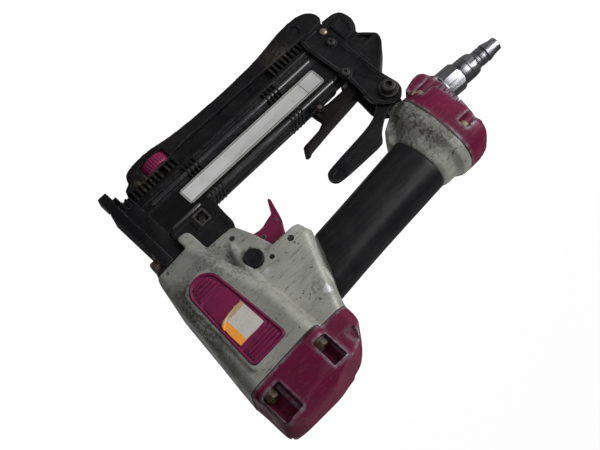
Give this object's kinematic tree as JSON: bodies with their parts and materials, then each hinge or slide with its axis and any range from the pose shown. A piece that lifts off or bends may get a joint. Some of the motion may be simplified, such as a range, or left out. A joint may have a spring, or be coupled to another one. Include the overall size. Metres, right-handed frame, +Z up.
{
  "type": "brad nailer",
  "caption": "Pneumatic brad nailer with crimson cap and end cap, worn silver housing, black grip sleeve, slim bottom-loading magazine, belt hook and a swivel air plug.",
  "frame": {"origin": "driver axis at the tip of the contact foot", "axes": "+Z up along the driver axis, +X forward away from the handle, -Y the side with the dial"},
  "size_m": [0.2863, 0.058, 0.2053],
  "materials": {
    "silver_paint": "worn",
    "crimson_paint": "worn satin",
    "gasket": "matte",
    "rusty_steel": "rusty",
    "crimson_plastic": "worn gloss",
    "aluminium": "honed",
    "rubber": "matte",
    "steel": "satin",
    "black_plastic": "matte",
    "brass": "satin",
    "chrome": "polished",
    "black_metal": "worn satin",
    "white_label": "satin",
    "magenta_plastic": "gloss",
    "worn_lever": "worn"
  },
  "bodies": {
    "housing": {"body_casting": "silver_paint", "cylinder_cap": "crimson_paint", "cap_gasket": "gasket", "cap_bolts": "rusty_steel", "cap_washers": "rusty_steel", "side_pad_left": "crimson_plastic", "side_pad_right": "crimson_plastic", "cylinder_liner": "aluminium", "bumper": "rubber", "head_valve_spring": "steel", "trigger_pin": "steel", "trigger_valve_bush": "brass", "frame_pins": "steel", "grip_sleeve": "rubber", "end_gasket": "gasket", "end_cap": "crimson_paint", "end_cap_screws": "rusty_steel", "swivel_washer": "steel", "swivel_nut": "chrome", "nose_base": "black_metal", "nose_plate": "black_metal", "nose_bolt": "rusty_steel", "nose_pin": "steel", "contact_spring": "steel", "front_support": "black_plastic", "magazine_clip": "steel", "magazine_body": "black_metal", "magazine_ribs": "black_metal", "label_plate": "white_label", "bottom_guard": "black_plastic", "guard_screws": "steel", "rear_bracket": "black_metal", "bracket_screws": "steel", "bracket_rivets": "brass", "bracket_bolt": "black_metal", "bracket_washers": "steel", "bracket_nut": "steel", "belt_hook": "black_metal", "lever_pin": "rusty_steel", "lever_spring": "rusty_steel"},
    "driver": {"piston": "aluminium", "piston_ring": "rubber", "driver_blade": "steel"},
    "head_valve": {"head_valve": "black_plastic"},
    "trigger": {"trigger": "crimson_paint", "trigger_arm_pin": "steel"},
    "trigger_arm": {"trigger_arm": "steel"},
    "valve_stem": {"trigger_valve_stem": "steel"},
    "contact_arm": {"contact_arm": "black_metal"},
    "side_dial": {"side_dial": "black_plastic"},
    "drawer": {"magazine_drawer": "steel", "drawer_grip": "black_plastic"},
    "pusher": {"pusher": "brass", "pusher_spring": "steel"},
    "release_lever": {"release_lever": "worn_lever"},
    "depth_dial": {"depth_dial": "magenta_plastic", "depth_stud": "steel"},
    "air_swivel": {"swivel_body": "chrome", "air_plug": "chrome"}
  },
  "joints": [
    {"name": "driver_stroke", "type": "slide", "parent": "housing", "child": "driver", "axis": [0, 0, -1], "range_m": [0, 0.053]},
    {"name": "head_valve_lift", "type": "slide", "parent": "housing", "child": "head_valve", "axis": [0, 0, 1], "range_m": [0, 0.0035], "stiffness_N_per_m": 1800, "springref_m": -0.003, "deforming": ["head_valve_spring"]},
    {"name": "trigger_pull", "type": "hinge", "parent": "housing", "child": "trigger", "pos_m": [-0.052, 0, 0.0997], "axis": [0, 1, 0], "range_deg": [0, 12], "stiffness_Nm_per_rad": 0.4, "springref_deg": -22.92},
    {"name": "trigger_arm_swing", "type": "hinge", "parent": "trigger", "child": "trigger_arm", "pos_m": [-0.0662, 0, 0.0965], "axis": [0, 1, 0], "range_deg": [-23, 0]},
    {"name": "valve_stem_lift", "type": "slide", "parent": "housing", "child": "valve_stem", "axis": [0, 0, 1], "range_m": [0, 0.001], "stiffness_N_per_m": 60, "springref_m": -0.004},
    {"name": "contact_arm_lift", "type": "slide", "parent": "housing", "child": "contact_arm", "axis": [0, 0, 1], "range_m": [0, 0.0035], "stiffness_N_per_m": 1500, "springref_m": -0.015, "deforming": ["contact_spring"]},
    {"name": "side_dial_turn", "type": "hinge", "parent": "housing", "child": "side_dial", "pos_m": [-0.035, 0, 0.11], "axis": [0, 1, 0], "range_deg": [0, 90]},
    {"name": "drawer_slide", "type": "slide", "parent": "housing", "child": "drawer", "axis": [-1, 0, 0], "range_m": [0, 0.11]},
    {"name": "pusher_slide", "type": "slide", "parent": "drawer", "child": "pusher", "axis": [-1, 0, 0], "range_m": [0, 0.125], "stiffness_N_per_m": 15, "springref_m": -0.35},
    {"name": "release_lever_press", "type": "hinge", "parent": "housing", "child": "release_lever", "pos_m": [-0.142, 0, 0.0604], "axis": [0, 1, 0], "range_deg": [0, 8], "stiffness_Nm_per_rad": 0.3, "springref_deg": -22.92},
    {"name": "depth_dial_turn", "type": "hinge", "parent": "housing", "child": "depth_dial", "pos_m": [-0.04, 0, 0.0097], "axis": [0, 0, 1], "range_deg": [0, 540]},
    {"name": "air_swivel_turn", "type": "hinge", "parent": "housing", "child": "air_swivel", "pos_m": [-0.209, 0, 0.1073], "axis": [-0.9981, 0, 0.061], "continuous": true}
  ],
  "couplings": [
    {"joint": "trigger_arm_swing", "follows": "contact_arm_lift", "rad_per_m": -112}
  ]
}
